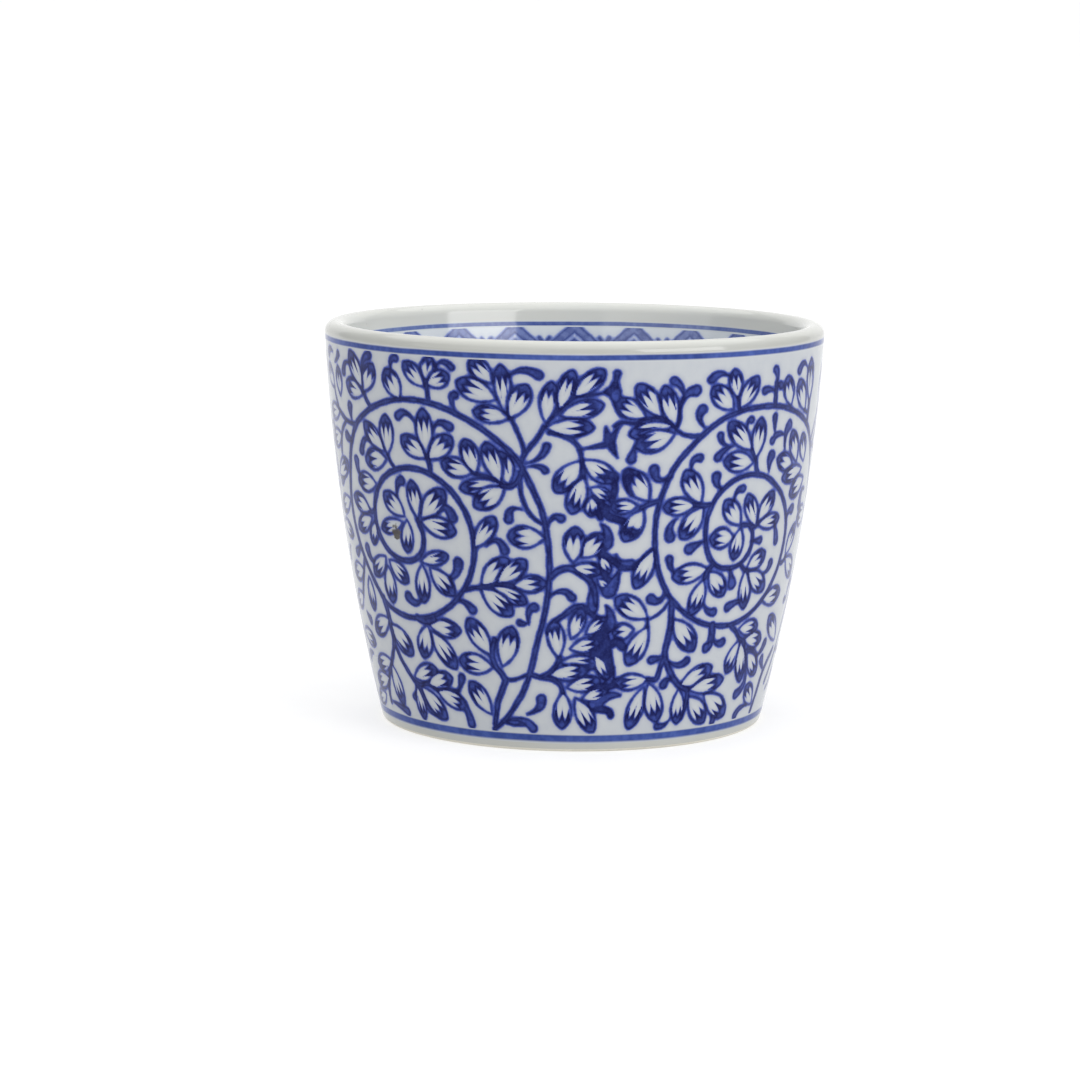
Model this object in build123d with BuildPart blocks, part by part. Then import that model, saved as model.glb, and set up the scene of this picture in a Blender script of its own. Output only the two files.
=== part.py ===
from build123d import *

import os

# Straight-sided porcelain tea cup, without a handle, decorated in underglaze blue.
#
# It is put together as in the pottery: a jiggered clay body, blue lines banded on the wheel,
# printed blue transfers laid on the clay, and a clear glaze poured inside, dipped outside and
# wiped off the foot. Each coat is its own solid, and the glaze is cut out where a print lies.
#
# Millimetres. +Z is up, the cup's axis is Z and it stands on Z = 0. The front, near where the
# two ends of the outer transfer lap, faces -Y.

# Overall sizes, over the glaze
height = 68.0  # table to the crest of the lip
rim_diameter = 85.0
foot_diameter = 65.0  # where the wall meets the table
wall_bow = 1.7  # how far the wall bows out from a straight line between foot and rim

# Wall, floor and foot
lip_thickness = 3.6
wall_thickness_at_floor = 4.8
inner_wall_bow = 1.2
floor_level = 6.5  # table to the bottom of the well
well_corner_radius = 10.0
foot_ring_width = 4.5
foot_recess_depth = 2.2
foot_edge_radius = 0.8
recess_corner_radius = 1.2
bare_foot_height = 0.5  # wiped clean of glaze up to here

# Coats
glaze_thickness = 0.4
print_thickness = 0.12

# Blue lines banded on the outside
rim_line_drop = 2.0  # from the crest of the lip down to the line
rim_line_width = 0.9
foot_band_bottom = 1.6  # from the table up to the band
foot_band_width = 1.3

# Outer transfer, which fills the wall between the rim line and the foot band
transfer_gap = 0.2  # bare clay between a transfer and the line beside it
seam_azimuth = 7.5  # middle of the lapped ends, in degrees to the right of the front
seam_lap = 5.0  # how far the sheet's end lies over its start, in degrees

# Inner decoration: a line under the lip, and a transfer below it
inner_line_drop = 3.2  # from the crest of the lip down to the line
inner_line_width = 0.9
border_height = 10.0

# Worked out from the sizes above
rim_radius = rim_diameter / 2
foot_radius = foot_diameter / 2
wall_lean = (rim_radius - foot_radius) / height
well_radius = foot_radius + floor_level * wall_lean - wall_thickness_at_floor
ring_inner_radius = foot_radius - foot_ring_width
lip_radius = 0.49 * lip_thickness  # a little under half, so that both sides' fillets fit
recess_radius = min(recess_corner_radius, 0.9 * (foot_recess_depth - foot_edge_radius))
foot_band_top = foot_band_bottom + foot_band_width
rim_line_top = height - rim_line_drop
rim_line_bottom = rim_line_top - rim_line_width
scroll_bottom = foot_band_top + transfer_gap
scroll_top = rim_line_bottom - transfer_gap
inner_line_top = height - inner_line_drop
inner_line_bottom = inner_line_top - inner_line_width
border_top = inner_line_bottom - transfer_gap
border_bottom = border_top - border_height
ink_depth = glaze_thickness - print_thickness  # glaze over a print
lap_depth = ink_depth - print_thickness  # glaze over two prints
beyond = 5.0  # how far a cutting region reaches past what it cuts


def corner(sketch, point):
    """The corner of a sketch at a point."""
    return sketch.vertices().sort_by_distance(point)[0]


# Half section of the finished cup: from its axis, round the foot and the lip, into the well.
# Sections are drawn flat, with X out from the axis and Y up, then stood on Plane.XZ and turned.
floor_centre = (0, floor_level)
recess_centre = (0, foot_recess_depth)
recess_edge = (ring_inner_radius, foot_recess_depth)
foot_inside = (ring_inner_radius, 0)
foot_outside = (foot_radius, 0)
lip_outside = (rim_radius, height)
lip_inside = (rim_radius - lip_thickness, height)
floor_edge = (well_radius, floor_level)
with BuildSketch() as cup_section:
    with BuildLine():
        Polyline(floor_centre, recess_centre, recess_edge, foot_inside, foot_outside)
        SagittaArc(foot_outside, lip_outside, -wall_bow)
        Line(lip_outside, lip_inside)
        SagittaArc(lip_inside, floor_edge, inner_wall_bow)
        Line(floor_edge, floor_centre)
    make_face()
    fillet([corner(cup_section, lip_outside), corner(cup_section, lip_inside)], lip_radius)
    fillet([corner(cup_section, foot_outside), corner(cup_section, foot_inside)], foot_edge_radius)
    fillet(corner(cup_section, recess_edge), recess_radius)
    fillet(corner(cup_section, floor_edge), well_corner_radius)

# Region outside the middle of the wall, which parts the outer coats from the inner ones
crest = (rim_radius - lip_thickness / 2, height)
over_crest = (crest[0], height + beyond)
mid_ring = foot_radius - foot_ring_width / 2
mid_floor = (floor_level + foot_recess_depth) / 2
with BuildSketch() as outer_region:
    with BuildLine():
        SagittaArc((mid_ring, mid_floor), crest, -(wall_bow + inner_wall_bow) / 2)
        Polyline(crest, over_crest, (rim_radius + beyond, height + beyond))
        Polyline((rim_radius + beyond, height + beyond), (rim_radius + beyond, -beyond))
        Polyline((rim_radius + beyond, -beyond), (mid_ring, -beyond), (mid_ring, mid_floor))
    make_face()

# Region under the middle of the floor
with BuildSketch() as under_region:
    with Locations((0, mid_floor)):
        Rectangle(mid_ring, mid_floor + beyond, align=(Align.MIN, Align.MAX))


def level_region(bottom, top):
    """Everything between two levels."""
    with BuildSketch() as level:
        with Locations((0, bottom)):
            Rectangle(rim_radius + beyond, top - bottom, align=(Align.MIN, Align.MIN))
    return level.sketch


def section_at(depth):
    """The half section with its skin taken down by a depth, except where it meets the axis."""
    with BuildSketch() as both_halves:
        add(cup_section.sketch)
        mirror(about=Plane.YZ)
        offset(amount=-depth)
    with BuildSketch() as right_half:
        add(both_halves.sketch)
        add(level_region(-beyond, height + beyond), mode=Mode.INTERSECT)
    return right_half.sketch


def print_section(bottom, top, on_wall, over=glaze_thickness, under=ink_depth):
    """A printed coat between two levels and two depths, on the outer or the inner wall."""
    with BuildSketch() as band:
        add(section_at(under))
        add(section_at(over), mode=Mode.SUBTRACT)
        add(level_region(bottom, top), mode=Mode.INTERSECT)
        add(outer_region.sketch, mode=on_wall)
    return band.sketch


outside, inside = Mode.INTERSECT, Mode.SUBTRACT
os.makedirs("parts", exist_ok=True)

# Clay body: under glaze everywhere but on the foot ring, where the clay comes to the surface
with BuildSketch() as body_section:
    add(cup_section.sketch)
    add(level_region(-beyond, bare_foot_height), mode=Mode.INTERSECT)
    add(section_at(glaze_thickness))
with BuildPart() as clay_body:
    with BuildSketch(Plane.XZ):
        add(body_section.sketch)
    revolve(axis=Axis.Z)
clay_body.part.label = "clay_body"
export_step(clay_body.part, "parts/clay_body.step")

# Thin blue line banded just under the lip, outside
with BuildPart() as rim_line:
    with BuildSketch(Plane.XZ):
        add(print_section(rim_line_bottom, rim_line_top, outside))
    revolve(axis=Axis.Z)
rim_line.part.label = "rim_line"
export_step(rim_line.part, "parts/rim_line.step")

# Wider blue band just above the foot
with BuildPart() as foot_band:
    with BuildSketch(Plane.XZ):
        add(print_section(foot_band_bottom, foot_band_top, outside))
    revolve(axis=Axis.Z)
foot_band.part.label = "foot_band"
export_step(foot_band.part, "parts/foot_band.step")

# Outer transfer with the flower scroll: one sheet once round, its end lapped over its start
lap_start = Plane.XZ.rotated((0, 0, seam_azimuth - seam_lap / 2 - 90))
with BuildPart() as scroll_transfer:
    with BuildSketch(Plane.XZ):
        add(print_section(scroll_bottom, scroll_top, outside))
    revolve(axis=Axis.Z)
    with BuildSketch(lap_start):
        add(print_section(scroll_bottom, scroll_top, outside, ink_depth, lap_depth))
    revolve(axis=Axis.Z, revolution_arc=seam_lap)
scroll_transfer.part.label = "scroll_transfer"
export_step(scroll_transfer.part, "parts/scroll_transfer.step")

# Thin blue line inside, under the lip
with BuildPart() as inner_line:
    with BuildSketch(Plane.XZ):
        add(print_section(inner_line_bottom, inner_line_top, inside))
    revolve(axis=Axis.Z)
inner_line.part.label = "inner_line"
export_step(inner_line.part, "parts/inner_line.step")

# Inner transfer with the trellis border, just below that line
with BuildPart() as border_transfer:
    with BuildSketch(Plane.XZ):
        add(print_section(border_bottom, border_top, inside))
    revolve(axis=Axis.Z)
border_transfer.part.label = "border_transfer"
export_step(border_transfer.part, "parts/border_transfer.step")

# Clear glaze: all that is left of the finished section, shared out between three coats
with BuildSketch() as glaze_section:
    add(cup_section.sketch)
    add(body_section.sketch, mode=Mode.SUBTRACT)

# Dipped coat outside, from the crest of the lip down to the bare foot
with BuildSketch() as outer_share:
    add(glaze_section.sketch)
    add(outer_region.sketch, mode=Mode.INTERSECT)
with BuildPart() as outer_glaze:
    with BuildSketch(Plane.XZ):
        add(outer_share.sketch)
    revolve(axis=Axis.Z)
    add(rim_line.part, mode=Mode.SUBTRACT)
    add(scroll_transfer.part, mode=Mode.SUBTRACT)
    add(foot_band.part, mode=Mode.SUBTRACT)
outer_glaze.part.label = "outer_glaze"
export_step(outer_glaze.part, "parts/outer_glaze.step")

# Poured coat inside, from the crest of the lip over the wall and the floor of the well
with BuildSketch() as inner_share:
    add(glaze_section.sketch)
    add(outer_region.sketch, mode=Mode.SUBTRACT)
    add(under_region.sketch, mode=Mode.SUBTRACT)
with BuildPart() as inner_glaze:
    with BuildSketch(Plane.XZ):
        add(inner_share.sketch)
    revolve(axis=Axis.Z)
    add(inner_line.part, mode=Mode.SUBTRACT)
    add(border_transfer.part, mode=Mode.SUBTRACT)
inner_glaze.part.label = "inner_glaze"
export_step(inner_glaze.part, "parts/inner_glaze.step")

# Coat under the floor, inside the bare foot ring
with BuildSketch() as base_share:
    add(glaze_section.sketch)
    add(outer_region.sketch, mode=Mode.SUBTRACT)
    add(under_region.sketch, mode=Mode.INTERSECT)
with BuildPart() as base_glaze:
    with BuildSketch(Plane.XZ):
        add(base_share.sketch)
    revolve(axis=Axis.Z)
base_glaze.part.label = "base_glaze"
export_step(base_glaze.part, "parts/base_glaze.step")
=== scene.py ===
import math

import bpy
import numpy as np
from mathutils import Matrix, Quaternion, Vector


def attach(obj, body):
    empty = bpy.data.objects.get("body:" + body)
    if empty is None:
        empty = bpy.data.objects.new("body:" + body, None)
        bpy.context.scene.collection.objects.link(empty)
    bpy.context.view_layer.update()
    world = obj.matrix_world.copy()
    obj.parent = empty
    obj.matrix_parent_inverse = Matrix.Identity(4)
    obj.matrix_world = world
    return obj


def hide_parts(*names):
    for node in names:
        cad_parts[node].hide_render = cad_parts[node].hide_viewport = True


# Porcelain tea cup without a handle, decorated in underglaze blue. The printed and banded blues
# lie under the clear glaze, so each print is modelled with the glaze over it, and the plain glaze
# fills in between. Heights and radii are given in millimetres, and meshes are made in metres.

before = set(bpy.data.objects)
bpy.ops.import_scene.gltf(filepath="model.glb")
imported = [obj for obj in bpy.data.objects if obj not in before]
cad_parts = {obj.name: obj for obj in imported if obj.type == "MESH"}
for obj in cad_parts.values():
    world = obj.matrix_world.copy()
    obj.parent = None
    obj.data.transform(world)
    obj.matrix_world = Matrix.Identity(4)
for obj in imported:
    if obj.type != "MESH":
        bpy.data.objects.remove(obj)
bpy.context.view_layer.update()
bpy.ops.object.select_all(action="DESELECT")

# Camera: a long lens a little above the rim, turned and tilted a touch
LENS = 112.85
LOOKS_DOWN, LOOKS_LEFT, TILT = math.radians(8.383), math.radians(0.558), math.radians(0.430)
bpy.ops.object.camera_add(location=(0.0, -0.57507, 0.11496))
camera = bpy.context.object
camera.name = "camera"
camera.data.lens, camera.data.sensor_width = LENS, 36.0
camera.data.clip_start, camera.data.clip_end = 0.05, 20.0
gaze = Vector((-math.sin(LOOKS_LEFT) * math.cos(LOOKS_DOWN),
               math.cos(LOOKS_LEFT) * math.cos(LOOKS_DOWN), -math.sin(LOOKS_DOWN)))
camera.rotation_euler = (gaze.to_track_quat("-Z", "Y") @ Quaternion((0, 0, 1), TILT)).to_euler()
bpy.context.scene.camera = camera
bpy.context.scene.view_settings.view_transform = "Standard"
bpy.context.scene.view_settings.look = "None"


# Studio: white paper, lit from behind as well, swept up behind the cup. A broad sun stands overhead
# and two windows of light in front, which mirror in the glaze, and the room is evenly white.
def add_node(material, kind, **settings):
    """A shader node with some of its settings and unlinked inputs set."""
    node = material.node_tree.nodes.new("ShaderNode" + kind)
    for name, value in settings.items():
        if hasattr(node, name):
            setattr(node, name, value)
        else:
            node.inputs[name.replace("_", " ")].default_value = value
    return node


def link(material, source, target):
    material.node_tree.links.new(source, target)


def new_material(name, roughness):
    """A material and its shader, with the same roughness all over."""
    material = bpy.data.materials.new(name)
    material.use_nodes = True
    shader = material.node_tree.nodes["Principled BSDF"]
    shader.inputs["Roughness"].default_value = roughness
    return material, shader


PAPER_WHITES = ((0.42, 0.42, 0.418), (0.46, 0.46, 0.457))
PAPER_GLOW = 0.58  # the light that comes through the sheet, which washes it out to white


def white_paper():
    material, shader = new_material("white_paper", 0.9)
    grain = add_node(material, "TexNoise", Scale=160.0, Detail=3.0)
    shade = add_node(material, "ValToRGB")
    for stop, white in zip(shade.color_ramp.elements, PAPER_WHITES):
        stop.color = (*white, 1)
    place = add_node(material, "TexCoord")
    link(material, place.outputs["Object"], grain.inputs["Vector"])
    link(material, grain.outputs["Fac"], shade.inputs["Fac"])
    link(material, shade.outputs["Color"], shader.inputs["Base Color"])
    shader.inputs["Specular IOR Level"].default_value = 0.1
    shader.inputs["Emission Color"].default_value = (1, 1, 1, 1)
    shader.inputs["Emission Strength"].default_value = PAPER_GLOW
    return material


SHEET_SIDE, SHEET_RISE, SHEET_BEND = 5.0, 2.5, 1.2  # metres
bpy.ops.mesh.primitive_plane_add(size=SHEET_SIDE, location=(0, 0.5, 0))
floor = bpy.context.object
floor.name = "paper_sweep"
bpy.ops.object.mode_set(mode="EDIT")
bpy.ops.mesh.select_all(action="DESELECT")
bpy.ops.object.mode_set(mode="OBJECT")
for edge in floor.data.edges:
    edge.select = all(floor.data.vertices[i].co.y > 2.0 for i in edge.vertices)
bpy.ops.object.mode_set(mode="EDIT")
bpy.ops.mesh.select_mode(type="EDGE")
bpy.ops.mesh.extrude_region_move(TRANSFORM_OT_translate={"value": (0, 0, SHEET_RISE)})
bpy.ops.object.mode_set(mode="OBJECT")
for edge in floor.data.edges:
    edge.select = all(floor.data.vertices[i].co.y > 2.0 and floor.data.vertices[i].co.z < 1.0
                      for i in edge.vertices)
bpy.ops.object.mode_set(mode="EDIT")
bpy.ops.mesh.bevel(offset=SHEET_BEND, segments=24)
bpy.ops.object.mode_set(mode="OBJECT")
bpy.ops.object.shade_smooth()
floor.data.materials.append(white_paper())


def add_softbox(name, place, aim, size, power):
    """A rectangular light at a place, facing a point."""
    bpy.ops.object.light_add(type="AREA", location=place)
    light = bpy.context.object
    light.name = name
    light.data.shape = "RECTANGLE"
    light.data.size, light.data.size_y = size
    light.data.energy = power
    light.rotation_euler = (Vector(aim) - Vector(place)).to_track_quat("-Z", "Y").to_euler()


CUP_MIDDLE = (0.0, 0.0, 0.04)
add_softbox("window_right", (0.855, -0.69, 0.42), CUP_MIDDLE, (0.84, 0.62), 6.4)
add_softbox("window_left", (-0.79, -0.76, 0.42), CUP_MIDDLE, (1.40, 0.62), 2.5)
bpy.ops.object.light_add(type="SUN", location=(0, 0, 2))
overhead = bpy.context.object
overhead.name = "overhead"
overhead.data.energy, overhead.data.angle = 2.0, math.radians(100)

world = bpy.data.worlds.new("soft_room")
bpy.context.scene.world = world
world.use_nodes = True
world.node_tree.nodes["Background"].inputs["Color"].default_value = (0.98, 0.99, 1.0, 1)
world.node_tree.nodes["Background"].inputs["Strength"].default_value = 0.42


# Clay body: white stoneware-like porcelain, jiggered in one piece. It shows only on the foot ring,
# where the glaze is wiped off so that the cup doesn't stick in the kiln, warm and dry to the touch.
def bare_clay():
    material, shader = new_material("bare_clay", 0.62)
    place = add_node(material, "TexCoord")
    grain = add_node(material, "TexNoise", Scale=1400.0, Detail=4.0, Roughness=0.65)
    cloud = add_node(material, "TexNoise", Scale=55.0, Detail=2.0)
    shade = add_node(material, "ValToRGB")
    shade.color_ramp.elements[0].color = (0.50, 0.47, 0.40, 1)
    shade.color_ramp.elements[1].color = (0.64, 0.62, 0.55, 1)
    mixed = add_node(material, "Math", operation="MULTIPLY_ADD")
    mixed.inputs[1].default_value = 0.4
    bump = add_node(material, "Bump", Strength=0.25, Distance=0.00006)
    for pattern in (grain, cloud):
        link(material, place.outputs["Object"], pattern.inputs["Vector"])
    link(material, grain.outputs["Fac"], mixed.inputs[0])
    link(material, cloud.outputs["Fac"], mixed.inputs[2])
    link(material, mixed.outputs["Value"], shade.inputs["Fac"])
    link(material, shade.outputs["Color"], shader.inputs["Base Color"])
    link(material, grain.outputs["Fac"], bump.inputs["Height"])
    link(material, bump.outputs["Normal"], shader.inputs["Normal"])
    return material


clay_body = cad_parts["clay_body"]
clay_body.material_slots[0].material = bare_clay()

# Scroll transfer: a sheet of fine blue line print, once round the wall, its ends lapped at the
# front. The cobalt has sunk into the glaze, so its edges are soft and its joints pooled. The wall
# is turned as four rings, and each carries how deep every point of it lies in the ink.

# A wall is an arc: its foot's radius and height, its top's, and how far it bows out between
OUTER_WALL = (32.5, 0.0, 42.5, 68.0, 1.7)
INNER_WALL = (28.656, 6.5, 38.9, 68.0, 1.2)
SKIN = 0.4  # glaze and print together
FINE_TURN, PLAIN_TURN = 1200, 600  # steps once round, for printed and for plain rings
WORKED_AT = 38.0  # radius at which the pattern is rolled out flat
ONCE_ROUND = 2 * math.pi * WORKED_AT
SCROLL = (3.1, 64.9)
SCROLL_ROWS = 309


def wall_centre(wall):
    """Centre and radius of a wall's arc."""
    out0, up0, out1, up1, bow = wall
    chord = math.hypot(out1 - out0, up1 - up0)
    radius = (chord ** 2 / 4 + bow ** 2) / (2 * bow)
    back = (bow - radius) / chord
    return (out0 + out1) / 2 + back * (up1 - up0), (up0 + up1) / 2 - back * (out1 - out0), radius


def radius_at(wall, up, inset=0.0):
    """How far out a wall stands at a height, with its skin taken down by an inset."""
    out, level, radius = wall_centre(wall)
    return out + math.sqrt((radius - inset) ** 2 - (up - level) ** 2)


def strip(wall, low, high, rows, depth):
    """Section of a coat on a wall: up its face, and down behind it in a few steps."""
    face = [(radius_at(wall, up), up) for up in np.linspace(low, high, rows + 1)]
    steps = max(2, rows // 60 + 1)
    return face + [(radius_at(wall, up, depth), up) for up in np.linspace(high, low, steps)]


def turn_round(name, section, steps, open_at_axis=False):
    """A closed section in millimetres, turned once round the cup's axis."""
    bpy.ops.object.select_all(action="DESELECT")
    bpy.ops.mesh.primitive_circle_add(vertices=len(section), radius=0.01)
    piece = bpy.context.object
    piece.name = piece.data.name = name
    for vertex, (out, up) in zip(piece.data.vertices, section):
        vertex.co = (out / 1000, 0.0, up / 1000)
    if open_at_axis:  # the last edge lies along the axis
        last = {0, len(section) - 1}
        for edge in piece.data.edges:
            edge.select = set(edge.vertices) == last
        bpy.ops.object.mode_set(mode="EDIT")
        bpy.ops.mesh.select_mode(type="EDGE")
        bpy.ops.mesh.delete(type="EDGE")
        bpy.ops.object.mode_set(mode="OBJECT")
    wheel = piece.modifiers.new("wheel", "SCREW")
    wheel.axis, wheel.angle = "Z", 2 * math.pi
    wheel.steps = wheel.render_steps = steps
    wheel.use_merge_vertices, wheel.merge_threshold = True, 1e-7
    bpy.ops.object.modifier_apply(modifier="wheel")
    bpy.ops.object.mode_set(mode="EDIT")
    bpy.ops.mesh.select_all(action="SELECT")
    bpy.ops.mesh.normals_make_consistent(inside=False)
    bpy.ops.object.mode_set(mode="OBJECT")
    bpy.ops.object.shade_smooth_by_angle(angle=math.radians(40))
    return piece


def smooth_line(points, steps=5):
    """A curve that runs evenly through the points."""
    if len(points) == 2:
        return points
    p = np.array([points[0], *points, points[-1]], float)
    line = []
    for a, b, c, d in zip(p[:-3], p[1:-2], p[2:-1], p[3:]):
        for t in np.arange(steps) / steps:
            line.append(0.5 * (2 * b + (c - a) * t + (2 * a - 5 * b + 4 * c - d) * t ** 2
                               + (3 * b - a - 3 * c + d) * t ** 3))
    return line + [p[-2]]


def carried(shapes, by):
    """The same shapes, some way further round."""
    moved = []
    for shape in shapes:
        if isinstance(shape[1], list):
            moved.append((shape[0], [(x + by, up) for x, up in shape[1]]))
        else:
            places = [v if i % 2 else v + by for i, v in enumerate(shape[:-1])]
            moved.append((*places, shape[-1]))
    return moved


class PrintSheet:
    """A print rolled out flat: how deep each point lies in ink, and how thin the ink is there."""

    def __init__(self, around, up):
        self.around, self.up = around, up
        self.ink = np.full((len(up), len(around)), -1.0)
        self.thin = np.zeros_like(self.ink)

    def patch(self, xs, ups, reach):
        """The part of the sheet near some points, and its coordinates."""
        i0, i1 = np.searchsorted(self.around, [min(xs) - reach, max(xs) + reach])
        k0, k1 = np.searchsorted(self.up, [min(ups) - reach, max(ups) + reach])
        return np.s_[k0:k1, i0:i1], self.around[None, i0:i1], self.up[k0:k1, None]

    def lay(self, part, ink, thin):
        """Adds ink to a part of the sheet. Where shapes come close, ink pools between them."""
        old = self.ink[part]
        share = np.clip(0.5 + 0.5 * (ink - old) / POOLING, 0, 1)
        pooled = 4 * share * (1 - share)
        self.thin[part] = (self.thin[part] * (1 - share) + thin * share) * (1 - 0.8 * pooled)
        self.ink[part] = old * (1 - share) + ink * share + POOLING * share * (1 - share)

    def strokes(self, lines, thin):
        """Brushed lines, each a list of points and of half widths. They join without pooling."""
        ink = np.full_like(self.ink, -1.0)
        for points, halves in lines:
            for (ax, az), (bx, bz), wa, wb in zip(points[:-1], points[1:], halves[:-1], halves[1:]):
                part, x, up = self.patch((ax, bx), (az, bz), max(halves) + SPREAD)
                dx, dz = bx - ax, bz - az
                t = np.clip(((x - ax) * dx + (up - az) * dz) / (dx * dx + dz * dz + 1e-9), 0, 1)
                off = np.hypot(x - ax - t * dx, up - az - t * dz)
                ink[part] = np.maximum(ink[part], wa + (wb - wa) * t - off)
        self.lay(np.s_[:, :], ink, np.full_like(ink, thin))

    def stems(self, stems, thin):
        lines = [(smooth_line(points), width) for width, points in stems]
        self.strokes([(line, [width / 2 + LOADED] * len(line)) for line, width in lines], thin)

    def leaves(self, leaves, thin):
        lines = []
        t = np.linspace(0, 1, 9)
        for ax, az, bx, bz, cx, cz, width in leaves:
            x = (1 - t) ** 2 * ax + 2 * t * (1 - t) * bx + t ** 2 * cx
            up = (1 - t) ** 2 * az + 2 * t * (1 - t) * bz + t ** 2 * cz
            halves = (width / 2 + LOADED) * (0.25 + 0.75 * t ** 0.9)
            lines.append((list(zip(x, up)), halves))
        self.strokes(lines, thin)

    def petal(self, bx, bz, tx, tz, width):
        """A pointed oval in outline, white inside, with a dark tip feathered towards its base."""
        part, x, up = self.patch((bx, tx), (bz, tz), 0.6 * width + SPREAD)
        length = math.hypot(tx - bx, tz - bz)
        ax, az = (tx - bx) / length, (tz - bz) / length
        along = ((x - bx) * ax + (up - bz) * az) / length
        aside = (up - bz) * ax - (x - bx) * az
        half = width / 2 * petal_side(np.clip(along, 0, 1))
        off = np.full(half.shape, 9.0)
        steps = (1 - np.cos(np.linspace(0, np.pi, 15))) / 2
        rim_x, rim_y = steps * length, width / 2 * petal_side(steps)
        px, py = along * length, np.abs(aside)
        for x0, y0, x1, y1 in zip(rim_x[:-1], rim_y[:-1], rim_x[1:], rim_y[1:]):
            dx, dy = x1 - x0, y1 - y0
            t = np.clip(((px - x0) * dx + (py - y0) * dy) / (dx * dx + dy * dy), 0, 1)
            off = np.minimum(off, np.hypot(px - x0 - t * dx, py - y0 - t * dy))
        inside = np.where((py < half) & (along > 0) & (along < 1), off, -off)
        line = BASE_LINE + (TIP_LINE - BASE_LINE) * np.clip(along, 0, 1)
        outline = line / 2 - np.abs(inside)
        across = aside / width * TEETH + (7.3 * bx + 3.1 * bz) % 1.0
        tooth = np.abs(across - np.floor(across) - 0.5) * 2
        uneven = 0.55 + 0.75 * ((0.37 * np.round(across) + 5.1 * tx) % 1.0)
        start = TIP_FROM - TOOTH * uneven * tooth ** 2
        tip = np.minimum((along - start) * length * 0.5, inside + line / 2)
        clear = inside > line / 2
        self.ink[part] = np.where(clear, -1.0, self.ink[part])
        thin = np.clip((along - THIN_FROM) / 0.1, 0, 1)
        self.lay(part, np.maximum(outline, tip), np.where(tip > outline, thin, 0.0))


LOADED = 0.10  # how far the ink spreads past a drawn line
POOLING = 0.55  # gap between two shapes that ink fills
SPREAD = 0.9  # how far from a shape the sheet is reckoned
BASE_LINE, TIP_LINE = 0.42, 0.62  # outline of a petal, at its base and its tip
BASE_SHAPE, TIP_SHAPE = 0.90, 0.70  # how pointed its two ends are
SWELL = BASE_SHAPE / (BASE_SHAPE + TIP_SHAPE)  # where it is widest
TIP_FROM, TOOTH = 0.74, 0.34  # where its dark tip begins, and how far its teeth reach back
TEETH, THIN_FROM = 2.9, 0.77  # how many teeth, and where the ink in the tip thins out


def petal_side(along):
    """Half width of a petal part of the way from base to tip, as a share of its most."""
    return (along / SWELL) ** BASE_SHAPE * ((1 - along) / (1 - SWELL)) ** TIP_SHAPE


# Flower scroll on the outside, drawn on the wall rolled out flat, in millimetres: how far round at
# a radius of 38 mm, counted from the front to the right, and how high above the table.

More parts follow.
